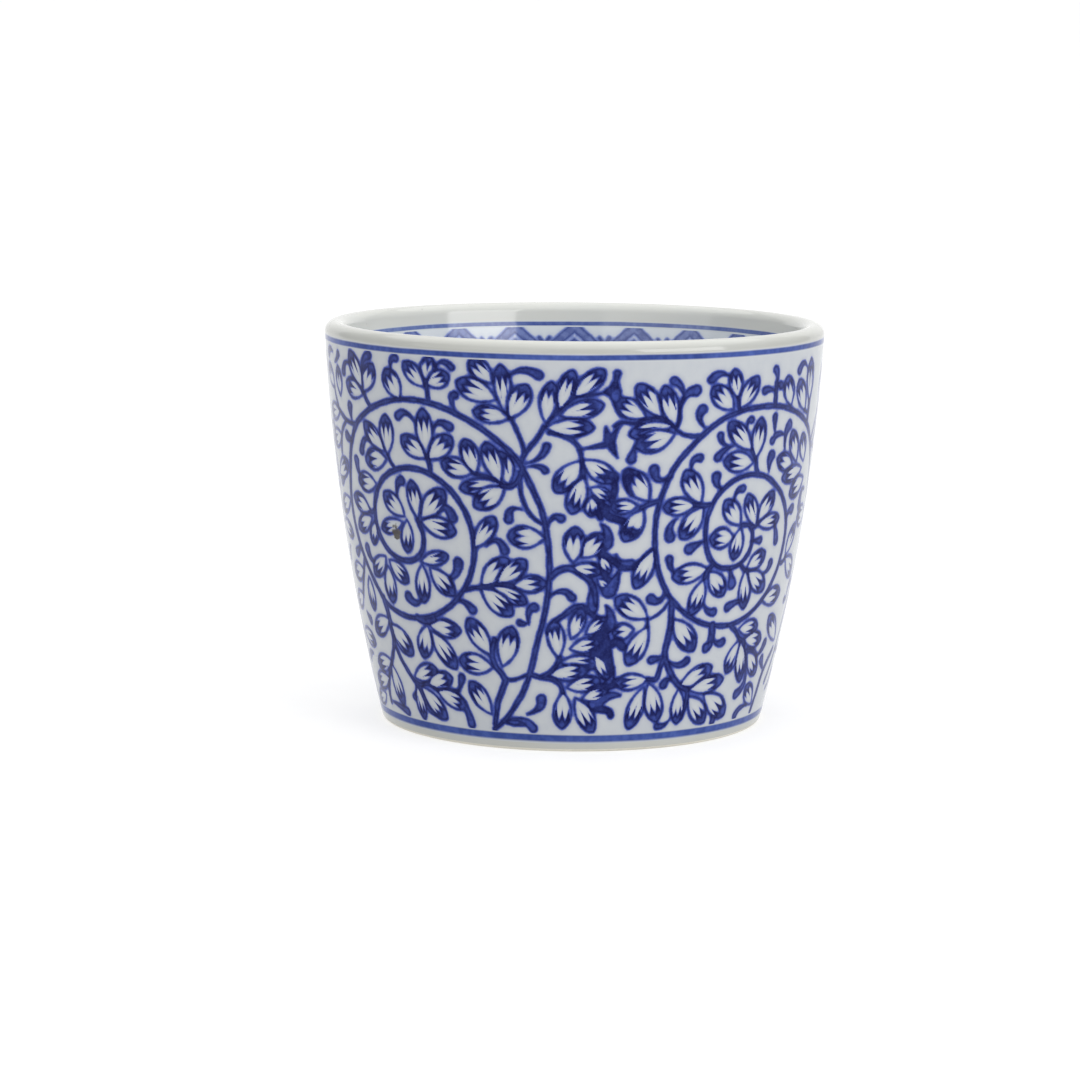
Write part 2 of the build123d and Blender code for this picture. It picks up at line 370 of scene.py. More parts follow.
# Each petal: its base, its tip and its width
LEFT_PETALS = [
    # spray in the heart of the left roundel
    (-26, 38.1, -26.8, 44.3, 2.7), (-25.3, 38.2, -20.5, 43.3, 3.5),
    (-25.4, 37.7, -18.9, 36.5, 3.4), (-28.4, 37.6, -29.1, 32.2, 2.7),
    (-28.9, 38.2, -33.3, 41.6, 3.3), (-29.5, 37.1, -34.9, 35.4, 2.5),
    # below the heart
    (-26.2, 30.9, -20.7, 32.4, 2.3), (-24.4, 30, -20.1, 25.9, 3.3), (-26.1, 30.4, -26.6, 24, 3),
    (-34, 30.2, -29.7, 27.1, 3), (-34.7, 29.2, -34.7, 22.9, 3.1), (-34.9, 30.7, -39.3, 27.2, 3),
    # between its two rings
    (-35.2, 42.8, -40.6, 42.9, 3.3), (-37.9, 38, -43.3, 39.8, 3.1), (-37.6, 37, -42.9, 34.5, 2.8),
    (-36.8, 36.4, -38.2, 32.4, 2.3), (-31.5, 48.2, -31.5, 54.7, 3.1),
    (-32.3, 48.6, -37.1, 52.9, 3), (-31.9, 47.4, -37.5, 46.7, 3.5),
    (-23.3, 48.6, -23.7, 56.4, 3.1), (-23.5, 48.3, -28.1, 51.4, 3.2),
    (-23, 48.2, -18.8, 52.2, 3.3), (-15.4, 46.5, -20.6, 47.8, 3.2),
    (-14.9, 46.3, -16.5, 51.9, 2.9), (-9.7, 44.9, -11, 50.2, 3.2), (-11, 45.1, -13.2, 51.6, 3),
    (-10.8, 45, -17.6, 43.8, 2.6), (-10.4, 44.4, -15.3, 41, 3.4), (-15.8, 34.1, -12.1, 39.4, 2.8),
    (-4.3, 36.3, -10, 36.4, 3.6), (-14.9, 27.9, -10.2, 32.6, 3.4), (-12.2, 28.5, -7.3, 32.4, 3),
    (-9.5, 28.2, -4.2, 28.9, 2.8), (-13, 27.9, -7.4, 25.4, 2.6), (-15, 27.4, -9.9, 23.3, 3.4),
    # along the top
    (-28, 57.6, -30.9, 62.2, 3.5), (-23.2, 60, -26.8, 63.7, 2.8), (-22.9, 61, -21.9, 64.8, 2.8),
    (-22.7, 60.4, -18.9, 62.2, 2.9), (-36.7, 58, -33.9, 62.8, 3.3), (-37, 57.5, -42, 59, 3.3),
    (-36.9, 58.6, -40.4, 64.4, 3.1), (-11.9, 61.2, -15.3, 64.8, 3),
    (-11.4, 58.6, -17.5, 61.2, 3.6), (-9.4, 55.7, -14.9, 56.6, 2.8),
    (-9.9, 56.4, -10.7, 64.2, 2.6), (-9.4, 55.6, -6.8, 61.1, 3.2),
    # along the bottom
    (-26, 20.2, -19.6, 19.8, 3.1), (-25.8, 19.2, -21.2, 13.3, 3.4), (-26.5, 20, -28.5, 14.4, 3.4),
    (-31.8, 10.5, -25.7, 12.7, 3), (-28.3, 9.8, -22.4, 11.6, 3), (-26.3, 8.9, -20, 6.9, 3),
    (-30.3, 9, -24.9, 4.2, 3.2), (-31.6, 9.1, -31, 3.4, 2.4), (-14.1, 16.2, -17.9, 22.1, 3.4),
    (-13.9, 14.1, -20.3, 14.8, 3.5), (-12.1, 14.4, -10, 21.2, 3.6), (-14.9, 6, -18.6, 11.2, 3.2),
    (-36.8, 19.8, -42.9, 16.9, 3.3), (-36.3, 19, -31.2, 14.5, 3.8), (-38.6, 12.3, -45.2, 10.8, 3),
    (-41, 9, -48, 7.3, 3), (-38.9, 11.8, -37.2, 4.9, 3.2),
    # left edge
    (-41.9, 26.3, -42, 20.6, 2.7), (-43.9, 27.2, -49.6, 26, 3.2), (-45.1, 56.5, -45.6, 61.3, 2.6),
    (-46.2, 53.7, -52, 53.2, 2.9), (-46.4, 49.7, -52, 48.4, 3.2), (-50.5, 42.6, -44.6, 45.4, 3.2),
    (-48.2, 57.6, -51.6, 61.2, 2.8), (-46.6, 22.6, -51.6, 20.4, 3), (-44.6, 5.6, -50.4, 3.9, 2.6),
    (-45.6, 39, -51.5, 36.8, 3), (-52.3, 34.5, -46.6, 32.8, 2.8), (-51, 15.8, -44.4, 14.6, 2.9),
    (-54.2, 28, -59.2, 30.8, 3), (-53.8, 34.6, -58.8, 38, 3.1), (-53.4, 20.6, -58.4, 16.8, 3.2),
    (-53.2, 48, -58.2, 51.8, 3.1), (-54.8, 56, -59.4, 59.8, 3.2), (-53.4, 10.4, -58.4, 6.2, 3),
    (-52.4, 43.2, -58.2, 43.6, 3), (-54.9, 57.6, -54.6, 63.4, 2.8), (-54, 25.6, -59.4, 24.2, 2.9),
]
MIDDLE_PETALS = [
    (-4.1, 55.1, -3.2, 61.6, 2.6), (-2.1, 57.2, -0.2, 63.5, 2.6), (0, 59.3, 4.3, 63.6, 2.8),
    (-2, 56.3, 4.2, 58.1, 2.9), (-4, 54.3, 2.9, 54.4, 3), (1.1, 49, -2.6, 43.9, 3.3),
    (1.4, 49.1, 6.2, 45.6, 3.1), (1.6, 46.4, -0.2, 40.5, 3), (2.6, 44.6, 5.6, 42.9, 2.2),
    (2.8, 43.2, 2.9, 40, 2.2), (0.1, 32.3, 0.4, 38.1, 3.3), (1.5, 33.2, 4.9, 36.9, 3.2),
    (0, 31.6, 4.6, 30.8, 2.4), (4.3, 33.4, 5.9, 30.6, 1.9), (4, 29.6, 5.9, 28, 1.6),
    (-2.2, 16.3, -3, 22.5, 2.9), (-0.1, 19.5, 1.7, 24.6, 2.5), (2.3, 20.3, 5.8, 23, 2.2),
    (-0.3, 17.8, 4.8, 19, 2.6), (-1.9, 15.6, 4.5, 15.3, 2.7), (-3.9, 13.3, 2.7, 14.2, 2.8),
    (-0.8, 11.2, 5, 12.4, 2.7), (1.9, 9.2, 6.4, 10.6, 2.4), (-1.4, 10.4, -1.7, 4.1, 3.2),
    (0.7, 9.4, 4.1, 3.6, 3.1), (3.8, 16.9, 6.5, 12.6, 2.3),
]
RIGHT_PETALS = [
    # left of the right roundel
    (10.6, 55.9, 6.1, 58.6, 3.1), (13, 55.9, 9.3, 61.2, 3), (15.3, 54.2, 13.3, 60.9, 2.8),
    (14.8, 54.6, 8.2, 53.2, 2.8), (15.2, 53.2, 9.3, 51.2, 3.5), (11.6, 42.3, 8, 47.4, 3.6),
    (9.9, 41.6, 5.8, 41.4, 2.4), (10.8, 41, 8, 35.9, 3.2), (12.9, 34.3, 10.2, 28, 3),
    (12.6, 22.8, 7.1, 26.4, 3.4), (10.4, 21, 6.8, 20.4, 2.8), (12.8, 21.3, 9.7, 15, 3.4),
    (13.6, 12.3, 7.8, 11.8, 2.8), (13, 11, 10.7, 3.9, 3), (13.9, 11.6, 16.3, 4.9, 3.4),
    # along the top
    (25.2, 56.6, 21.2, 60.4, 3.3), (25.9, 58.4, 24.9, 63, 2.5), (26.4, 56.7, 29.8, 61.5, 3),
    (38.9, 56.1, 37.2, 61, 3), (44.3, 54.8, 41, 60.1, 3.2), (46.1, 56.2, 45.4, 63.3, 3),
    # between its rings
    (30.7, 48.1, 31.3, 54.7, 3), (29.6, 49.6, 24.6, 54.4, 3.2), (30.3, 47.5, 24.2, 48.2, 3.4),
    (20.4, 41.5, 17.4, 47, 3.3), (19.4, 41.2, 14.1, 41.2, 2.9), (21, 40.9, 17.4, 35.9, 3.3),
    (43.1, 46.3, 40.2, 51.7, 3), (46.6, 46, 44.5, 50.8, 2.9), (41.6, 45.9, 36.4, 47.5, 3),
    (46, 44.9, 38.6, 44, 2.8), (47.9, 43, 42, 41, 3.4), (44.3, 30.3, 47.2, 35.3, 3),
    (44.7, 29.8, 50.6, 26.3, 3.2), (38, 23.4, 44.8, 24, 3.1),
    # spray in its heart, and below
    (28.8, 37.2, 25.1, 41.5, 3.2), (27.7, 35.2, 22.8, 35.5, 3.4), (29, 36.7, 28.2, 31.5, 2.8),
    (32.6, 36.6, 29.8, 42.1, 2.9), (33, 37.4, 36.5, 42, 3.1), (33.2, 36.8, 39.2, 37.3, 2.6),
    (22.9, 30.4, 16.5, 29.5, 3.2), (23.3, 29.9, 27, 25.7, 3.2), (22.4, 28.6, 20.7, 22.9, 3),
    (31.5, 29.3, 32.6, 22.7, 3), (31.8, 29.6, 36.3, 31.8, 3), (32.3, 29, 37.7, 25.4, 3.2),
    # along the bottom
    (17.4, 22.3, 22.2, 16.7, 3.5), (20.2, 10.8, 26.8, 13.3, 3.3), (22.4, 9.8, 30.2, 10.9, 3),
    (26, 8.7, 32.6, 4.4, 3.6), (22.4, 8.7, 27.2, 3.8, 3.4), (20.1, 10.2, 20.6, 4.2, 2.8),
    (32.2, 19.2, 37.8, 19, 2.8), (34.3, 17.2, 40.2, 16.4, 2.8), (32.9, 17.2, 30.8, 11.9, 3.2),
    (33.5, 17, 35.5, 9.8, 3), (36.2, 14.7, 41, 10.4, 3), (42.2, 4.9, 38.2, 8.6, 3),
    (47.9, 15.2, 41.9, 20.1, 3.1),
]
# Each curled leaf: its foot, the point it bends towards, its round end, and its width there
LEFT_LEAVES = [
    (-22, 39.5, -20.2, 41.6, -19.3, 38.9, 1.8), (-21.4, 28.4, -19, 29, -18.8, 31.4, 1.8),
    (-30.2, 41.4, -30.1, 43.8, -28.9, 44.1, 1.7), (-26.9, 24.5, -28.6, 22.8, -30.1, 24.5, 1.8),
    (-38.2, 29.2, -40.3, 29.2, -40.7, 31.3, 1.7), (-39.8, 43.6, -40.9, 44.6, -40.8, 46.2, 1.6),
    (-36.8, 61.6, -36.6, 63.8, -34.8, 64.1, 1.6), (-40.5, 62.3, -42.6, 63, -43, 60.7, 1.4),
    (-41.2, 53, -41.5, 54.2, -41.5, 55.1, 1.7), (-41.8, 49.4, -42.6, 49.4, -43.6, 49.9, 1.8),
    (-35.3, 49.8, -37.8, 51.2, -38.6, 48, 1.4), (-29.6, 61.8, -30, 64.2, -28.6, 64.2, 1.3),
    (-21, 63.3, -19.9, 65.1, -18.3, 63.4, 1.2), (-18.1, 56.7, -18.9, 58.8, -17.9, 59, 1.4),
    (-25.2, 54.1, -26.9, 56.4, -28.6, 54.8, 1.5), (-21.9, 53, -21, 55.3, -19, 53.7, 1.5),
    (-47, 61.9, -45.6, 62.6, -45.1, 63.4, 1.3), (-9.6, 62.3, -7.5, 64.4, -5.1, 62.7, 1.5),
    (-7.8, 40.9, -9.9, 41.6, -9.9, 39.2, 1.5), (-13.7, 34.6, -11.6, 36.8, -10.7, 34, 1.5),
    (-19.6, 25, -18, 25.2, -16.9, 23.7, 1.6), (-21.3, 9.4, -20.6, 10.6, -20.3, 11.8, 1.5),
    (-22, 9.3, -20, 7.2, -19.3, 3.9, 1.6), (-12.2, 4.9, -9, 6.2, -7, 4, 1.6),
    (-41.6, 4.8, -39, 4.6, -36.1, 3.9, 1.5), (-32, 8.2, -32.7, 7.4, -32.9, 6.9, 1),
    (-48, 63.6, -49.4, 64.4, -50.8, 63.2, 1.5), (-50.2, 30.4, -51.4, 30, -51.9, 28.4, 1.6),
    (-46.6, 43.9, -47.6, 41.9, -49.4, 41.6, 1.5), (-47.4, 12.3, -49.4, 12.6, -50.8, 11.2, 1.6),
    (-43.8, 31.2, -44.6, 30.6, -45.7, 30, 1.7), (-46.2, 19.6, -45.6, 18.9, -44.8, 18.5, 1.6),
    (-7.2, 21.8, -7.4, 24.6, -6.2, 24.7, 1.6), (-7, 22.2, -7.9, 21.7, -8.6, 22, 1.2),
    (-8, 6.4, -5.2, 7.2, -5.3, 9, 1.8), (-53.6, 32.2, -55.8, 33, -57.2, 32, 1.5),
    (-52.6, 16.6, -55, 15, -55.4, 12.8, 1.5), (-53.4, 51, -51.4, 52, -51.2, 50.2, 1.4),
    (-54.6, 54.2, -57, 55.4, -58.2, 54.2, 1.4), (-53.4, 23.6, -56, 22.4, -57, 20.6, 1.5),
    (-52.4, 40.4, -55, 41, -56.6, 40.2, 1.4), (-52.2, 5.6, -54, 4, -55.8, 4.6, 1.4),
]
MIDDLE_LEAVES = [
    (-3.8, 38.4, -3, 40.5, -1.8, 39.6, 1.4), (-3.8, 26.5, -1.4, 28.6, 0, 26.5, 1.4),
    (-7, 48.4, -4.4, 49.2, -3.9, 51.3, 1.3), (-6.8, 47.9, -5, 48.4, -4.2, 47.4, 1.2),
    (5.4, 60.3, 6.1, 61.8, 6.2, 63.1, 1.1), (9.1, 51.4, 8.8, 50.2, 8.6, 49.2, 1.5),
]
RIGHT_LEAVES = [
    (15, 46.1, 12.2, 44.8, 12.2, 47.5, 1.6), (15.5, 27, 14.6, 24.8, 13, 26, 1.7),
    (16.4, 59, 16.2, 60.9, 14.8, 61.7, 1.4), (16.2, 58.4, 16.8, 59.9, 18.3, 60, 1.9),
    (20.2, 53.9, 18.4, 55.5, 19.6, 56.9, 1.6), (24.3, 61.9, 22.2, 63.2, 20.9, 61.7, 1.5),
    (34.4, 60.4, 34.6, 61.6, 33.9, 62.5, 1.3), (34.2, 59.6, 35.2, 60.2, 35.5, 59.7, 1.4),
    (34, 58.9, 32.8, 59.6, 31.6, 59.2, 1.4), (28.1, 53, 28.2, 55, 29.1, 54.6, 1.2),
    (24.8, 50.7, 23.3, 50.8, 23.1, 52.5, 1.2), (25.8, 50.6, 24, 50.4, 22.9, 48.9, 1.5),
    (35, 51.8, 34.6, 53.4, 34.6, 54.7, 1.3), (35.8, 51.3, 34.8, 51.2, 34.5, 50.7, 1.3),
    (34.4, 45.6, 34, 47.2, 34.6, 48.2, 1.8), (18.3, 46.8, 18, 49.2, 19.6, 49, 1.4),
    (24.3, 43.5, 22.7, 44.4, 22.9, 45.7, 1.8), (16.4, 39.2, 14.7, 38, 15.5, 36.2, 1.7),
    (21.6, 35.1, 20, 34.6, 19.1, 34, 1.8), (16.9, 30, 15.8, 30.9, 15.7, 32.5, 1.4),
    (26.8, 41, 26.8, 43.4, 28.5, 43.3, 1.3), (31.9, 34.2, 33.2, 34.2, 34.2, 34.1, 1.3),
    (23, 24.4, 23.9, 22.8, 25.2, 22.9, 1.5), (27.6, 29.9, 28.3, 28.6, 28.6, 27.3, 1.8),
    (32.2, 24, 30.2, 24.4, 28.4, 23.4, 1.6), (37.5, 36.8, 38.8, 35.4, 39.3, 33.4, 1.4),
    (36.8, 28.2, 38.3, 28.4, 38.6, 29.7, 1.5), (42.1, 37, 42.6, 38.4, 44, 38.2, 1.7),
    (49.4, 36.6, 48.6, 38, 47.8, 38.4, 1.7), (38.3, 48.9, 37.6, 51.8, 39, 52.9, 1.7),
    (38, 51.3, 36.4, 51.9, 35.2, 51.5, 1.2), (43.9, 61.9, 42.2, 63.9, 40.9, 61.7, 1.4),
    (40, 13.7, 41.6, 14, 42.3, 15.5, 1.6), (44.1, 10.8, 43, 11.6, 42.4, 12.7, 1.5),
    (40.2, 5, 37.2, 5.2, 36.4, 3.8, 1.5), (17.4, 15.1, 19.3, 13.7, 20.9, 15, 1.5),
    (18.3, 11.9, 17.3, 12.4, 16.8, 11.2, 1.6), (25.5, 19.5, 26, 17, 24.8, 16.9, 1.8),
    (26, 18.2, 27, 17, 28.4, 17.5, 1.5), (36.4, 12, 38.6, 8.8, 35.1, 7.6, 1.7),
    (19.1, 5.2, 18.2, 3.7, 16.5, 4, 1.3), (16.6, 16, 15.2, 15.8, 14, 15.6, 1.5),
]
# Each stem: its width and the points it runs through
LEFT_STEMS = [
    # the long scroll: up from the foot, over the top, round the outer ring and the inner one
    (0.85, [(-14.6, 3.4), (-12.3, 5.2), (-10, 8), (-8.2, 11), (-6.9, 14.5), (-6, 18), (-5, 21.5),
        (-4.2, 25), (-3.7, 29), (-3.6, 33), (-4, 37), (-4.8, 41), (-6.2, 44.5), (-8.1, 48.6),
        (-10.5, 51.2), (-13.5, 53.6), (-17, 55.6), (-21, 57.1), (-25, 57.7), (-29, 57.4),
        (-33, 56.3), (-36.5, 54.6), (-39.8, 52.2), (-42.3, 48.4), (-43.8, 44), (-44.9, 39.5),
        (-44.7, 35), (-43.4, 31.3), (-41.3, 27.8), (-39, 24.9), (-36.8, 22.7), (-33.5, 21.4),
        (-30, 21), (-26.5, 21.4), (-23, 22.7), (-19.9, 25), (-17.4, 28.2), (-16, 32), (-15.9, 36),
        (-17, 40), (-19.6, 43.6), (-23, 45.8), (-26.7, 46.4), (-30.5, 45.6), (-33.7, 43.6),
        (-35.9, 40.3), (-36.5, 36.9), (-35.6, 33.9), (-33.5, 31.7), (-30.6, 30.7), (-27.7, 31),
        (-25.7, 32.8), (-25.2, 35.3), (-26.1, 37.8)]),
    (0.6, [(-8, 47), (-7.9, 43.6), (-7, 41), (-5.9, 39.5), (-4.8, 38.7)]),
    (0.6, [(-9.3, 55.8), (-8.2, 53.4), (-7.3, 50.6), (-7.7, 48.5)]),
    (0.7, [(-22.5, 57.4), (-22.6, 59), (-22.8, 60.8)]),
    (0.7, [(-34.9, 55.5), (-36.1, 56.9), (-36.8, 58.4)]),
    (0.6, [(-30, 45.9), (-30.9, 46.9), (-31.6, 48.1)]),
    (0.8, [(-22.8, 45.8), (-22.9, 47.3), (-23.3, 48.8)]),
    (0.9, [(-7.5, 47.6), (-8.3, 45.6), (-9.4, 44.6), (-10.9, 44.7)]),
    (0.6, [(-10.8, 44.9), (-12.6, 45.9), (-15.1, 46.4)]),
    (0.7, [(-39.9, 52.3), (-42.5, 52.4), (-44.4, 53), (-46.2, 54)]),
    (0.6, [(-43.4, 52.5), (-45.4, 51), (-46.5, 49.2), (-47.2, 46.8)]),
    (0.8, [(-51.6, 3.4), (-53.2, 9), (-52.4, 14.6), (-53.2, 20.6), (-54.3, 27), (-53.8, 34),
        (-52.6, 39), (-51.9, 43), (-53, 48), (-54.6, 53.4), (-54.9, 58.2)]),
    (0.6, [(-46.4, 54), (-47.5, 55.8), (-48.2, 57.6)]),
    (0.6, [(-42.6, 29.4), (-44, 26.8), (-45.4, 24.4), (-46.6, 22.6)]),
    (0.7, [(-36.4, 38.6), (-37.3, 37.9), (-38.2, 38)]),
    (0.8, [(-18, 26.9), (-16.3, 27.4), (-14.9, 27.6), (-12.5, 28.3), (-9.5, 28.1)]),
    (1.2, [(-28.6, 21.1), (-26.8, 20.7), (-24.8, 21.2)]),
    (1.1, [(-37.5, 23.4), (-36.8, 21), (-36.5, 18.4), (-36.3, 16.4), (-36.7, 15.2)]),
    (0.8, [(-36.7, 15.2), (-38, 13), (-39.4, 11.1), (-41.2, 8.9), (-42.4, 6.4), (-42.6, 4.6)]),
    (0.8, [(-36.3, 15.6), (-34.9, 13), (-33.2, 11), (-32, 9.8)]),
    (0.8, [(-32, 9.8), (-30.4, 9.4), (-28.2, 9.8), (-26.2, 9), (-23.6, 9.1), (-21.4, 9.4)]),
    (0.9, [(-31.6, 9.3), (-30.2, 7.4), (-29.2, 5.2), (-26.5, 4.4)]),
    (1, [(-13.2, 18.9), (-13.9, 16.6), (-13.5, 14.6), (-12.4, 13.2), (-11.7, 12)]),
    (1, [(-11.6, 12.2), (-12.5, 10.3), (-13.4, 8.3), (-13.9, 6.2), (-14.4, 4.2)]),
    (0.6, [(-11.7, 12.2), (-10.3, 12.2), (-8.6, 12.8), (-7.2, 13.4)]),
    (0.5, [(-13, 4.9), (-10.6, 4.4), (-8.8, 4.6)]),
]
MIDDLE_STEMS = [
    (0.7, [(-4.3, 54.5), (-5.2, 52.7), (-6.4, 51.1), (-7.6, 49.2)]),
    (0.45, [(-4.2, 54.5), (-2.8, 56.2), (-1.4, 57.9), (0.2, 59.2), (2.6, 59.6), (4.5, 60.1),
        (5.7, 61.2)]),
    (0.6, [(-3.6, 53.5), (-1.6, 53.1), (0.1, 52.1), (1, 50.6), (1.3, 48.4), (1.6, 46.4)]),
    (0.8, [(-6.9, 13.2), (-5, 12.8), (-3.4, 12.6), (-2, 11.7), (-1.5, 10.4)]),
    (0.8, [(-5.4, 12.9), (-3.7, 13.7), (-2.5, 15.2), (-2, 16.3)]),
    (0.9, [(-3.9, 20.6), (-2.8, 22.4), (-1.2, 23.6), (0.4, 24.9), (1.6, 25.1)]),
    (1.1, [(-3.6, 29.7), (-2.3, 30.9), (-0.5, 31.4), (1.2, 30.6), (2.8, 29.3), (3.6, 27.4),
        (3.7, 25.4)]),
]
RIGHT_STEMS = [
    (0.8, [(28, 56.4), (24, 55.4), (20.6, 53.3), (17.8, 50.6), (15.5, 47.7), (14, 44.2),
        (13.1, 40.6), (12.9, 36.8), (13.3, 33), (14.5, 29.2), (16.4, 26), (19.2, 23.4),
        (22.6, 21.4), (26.2, 20.5), (30, 20.3), (33.8, 21.3), (37.3, 23.2), (40.2, 26),
        (42, 29.4), (42.6, 33.2), (41.9, 37), (39.8, 40.4), (36.9, 43), (33.5, 44.9),
        (29.8, 45.5), (26.4, 44.8), (23.6, 42.7), (22, 39.6), (21.8, 36.2), (22.7, 32.9),
        (24.6, 30.8), (27.3, 30.1), (29.9, 30.6), (31.8, 32.5), (32.1, 35), (31.2, 36.8),
        (29.4, 37.2)]),
    (0.8, [(28, 56.4), (31.5, 56.6), (35.5, 56.3), (39.3, 55.4), (43, 54), (46.2, 52.2),
        (49, 49.6), (51.4, 46), (52.9, 41.6), (53.8, 37)]),
    (0.6, [(15.4, 53.8), (16.6, 53), (18.2, 52.6), (19.7, 52.6)]),
    (0.6, [(15.4, 53.8), (15.9, 55.5), (15.9, 57.2), (16.3, 58.8)]),
    (0.9, [(34.3, 56.5), (34.3, 58.2), (34.3, 60.2)]),
    (0.6, [(26.4, 56.2), (26.1, 57.4), (25.9, 58.6)]),
    (0.7, [(31.9, 45.3), (31.1, 46.4), (30.8, 47.8), (29.8, 49.4)]),
    (0.8, [(22.5, 41.2), (21, 41.1), (19.4, 41.3)]),
    (0.9, [(23.9, 31), (23.1, 30.2), (22.5, 29)]),
    (0.8, [(30.1, 30.4), (31.2, 29.5), (31.9, 29.1)]),
    (0.9, [(31.3, 36.6), (32, 36.6), (32.8, 37)]),
    (0.7, [(42.2, 29.3), (43.4, 29.2), (44.6, 29.9)]),
    (0.8, [(46, 52.6), (46.1, 54.4), (46.1, 56.4)]),
    (0.6, [(46.1, 54.4), (45.2, 54.4), (44.2, 54.9)]),
    (0.8, [(10.5, 41.3), (12, 41.9), (13.4, 42.3)]),
    (0.4, [(12.8, 22.5), (14.2, 23.2), (15.4, 24.2), (16.4, 25.6)]),
    (1.1, [(16.7, 25.4), (16.9, 22.6), (16.8, 19.6), (16.4, 16.8), (17, 14.8), (18.2, 12.8),
        (19.8, 11), (21.9, 9.9)]),
    (0.9, [(20.4, 10.9), (22, 9.4), (22, 7.2), (21.4, 5.2)]),
    (1.4, [(25.4, 20.6), (25.6, 19.4), (25.6, 18.2)]),
    (0.8, [(29.6, 20.3), (31.4, 19), (32.8, 17.6), (34.2, 17)]),
    (0.7, [(34.3, 16.8), (35.5, 14.4), (36.4, 12.2)]),
    (0.6, [(40, 13.6), (38.8, 14.5), (37.4, 15.2), (35.8, 15.3)]),
    (0.9, [(42.8, 3.6), (43.6, 6.4), (44.4, 9.6), (45.8, 11.7), (48, 13.6)]),
    (0.9, [(13.7, 12.3), (15.2, 12.3), (15.8, 14.2), (16.4, 16)]),
    (0.6, [(12.7, 22.6), (12.7, 21.3)]), (1.3, [(29.9, 5.6), (29.6, 4.6), (29.5, 3.6)]),
    (0.6, [(15.3, 54), (13.2, 55.7), (10.7, 55.7), (9, 55), (7, 55.2), (6, 54.6)]),
    (0.5, [(8.4, 31.6), (10, 31.8), (11.4, 33.2), (12.9, 34.6)]),
]
# Doubled print where the ends of the sheet lap: width and points of each dark smear
LAP_SMEARS = [
    (1, [(4.9, 60.1), (5.6, 60.4), (6, 61.2)]), (1.1, [(5.8, 42.6), (6.2, 44.2), (6.2, 46.4)]),
    (1.3, [(3.9, 43), (4.6, 41.2), (5.6, 39.9), (7.6, 39.2)]),
    (1.1, [(4.3, 43.6), (3.6, 41.6), (4.2, 39.8)]),
    (1.2, [(5.2, 33.4), (6.4, 32.6), (7.9, 31.6), (10.2, 31.6)]),
    (1.1, [(3.3, 31.8), (4.6, 31), (5.7, 29.4)]), (2.3, [(5.6, 21.4), (4.5, 19.4), (4.2, 17)]),
    (2.4, [(5.2, 19.8), (5.8, 16.6), (6.3, 13.6)]), (1.5, [(6.4, 18.4), (7.6, 19), (8.6, 18.2)]),
    (1.6, [(2.8, 11.6), (5.2, 11.2), (8, 12)]), (1.3, [(4.4, 7.6), (6.6, 7.2), (7.2, 6.4)]),
    (1.4, [(3.4, 36.4), (4.4, 35.2), (4.6, 33.4)]), (1, [(2.2, 24.6), (3.4, 23.6), (5.4, 22)]),
]
# and each leaf there, as above
LAP_LEAVES = [
    (6.9, 56.4, 6.2, 58.4, 5.9, 60, 2), (4.4, 38.6, 5.7, 37.6, 5.2, 35.6, 2.2),
    (6.8, 33.6, 7.2, 31.8, 9.2, 31.9, 1.7), (7.4, 30.9, 6.9, 29.2, 5.9, 27.7, 2.6),
    (5.5, 25.1, 6.6, 23.8, 6.2, 21.8, 2.2), (8.7, 9.8, 6.4, 10.2, 4.2, 8.4, 2.5),
    (3.5, 28.9, 2.7, 26.8, 3.4, 24.7, 1.7), (7.2, 14.6, 7.2, 13, 6.6, 11.9, 1.9),
]

# and each dark point of ink, as the leaves
LAP_POINTS = [
    (6.5, 49.5, 5.7, 51, 5.3, 52.3, 1.7), (4.7, 54.6, 4.8, 53.4, 5.3, 52.2, 1.5),
    (0.9, 50.8, 3.1, 51.3, 5, 51.7, 1), (6.9, 54.7, 6, 53.8, 5.6, 52.5, 1.1),
    (8.9, 43.5, 7.7, 45.3, 8.3, 46.9, 1.8), (3.7, 46.3, 5.2, 46.6, 6.1, 46.2, 1.3),
    (7.3, 37.2, 8.6, 38, 9.6, 37.2, 1.2), (2.9, 40.6, 4.2, 40.9, 5, 41.4, 1.2),
]

NEXT_ROUNDEL = 57.6  # from one roundel to the next


def right_of_roundel(shapes):
    """The shapes between the left roundel and the middle of the front."""
    return [shape for shape in shapes if shape[0] > -9.0]


def scroll_print():
    """The whole print. It repeats after half a turn, and only the lapped ends are smeared."""
    around = (np.arange(FINE_TURN) - FINE_TURN / 2) * ONCE_ROUND / FINE_TURN
    sheet = PrintSheet(around, np.linspace(*SCROLL, SCROLL_ROWS + 1))
    arm = (0.85, [(x + NEXT_ROUNDEL, up) for x, up in LEFT_STEMS[0][1][2:11]])
    stems = LEFT_STEMS + MIDDLE_STEMS + RIGHT_STEMS + carried(MIDDLE_STEMS, NEXT_ROUNDEL) + [arm]
    leaves = LEFT_LEAVES + MIDDLE_LEAVES + RIGHT_LEAVES
    leaves += carried(right_of_roundel(LEFT_LEAVES) + MIDDLE_LEAVES[:-1], NEXT_ROUNDEL)
    petals = LEFT_PETALS + MIDDLE_PETALS + RIGHT_PETALS
    petals += carried(right_of_roundel(LEFT_PETALS) + MIDDLE_PETALS, NEXT_ROUNDEL)
    sheet.stems(LAP_SMEARS, 0.2)
    sheet.leaves(LAP_LEAVES, 1.0)
    for turn in (-ONCE_ROUND / 2, 0.0, ONCE_ROUND / 2):
        sheet.stems(carried(stems, turn), 0.8)
        sheet.leaves(carried(leaves, turn), 0.95)
        for petal in carried(petals, turn):
            sheet.petal(*petal)
    sheet.leaves(LAP_POINTS, 0.3)
    return sheet


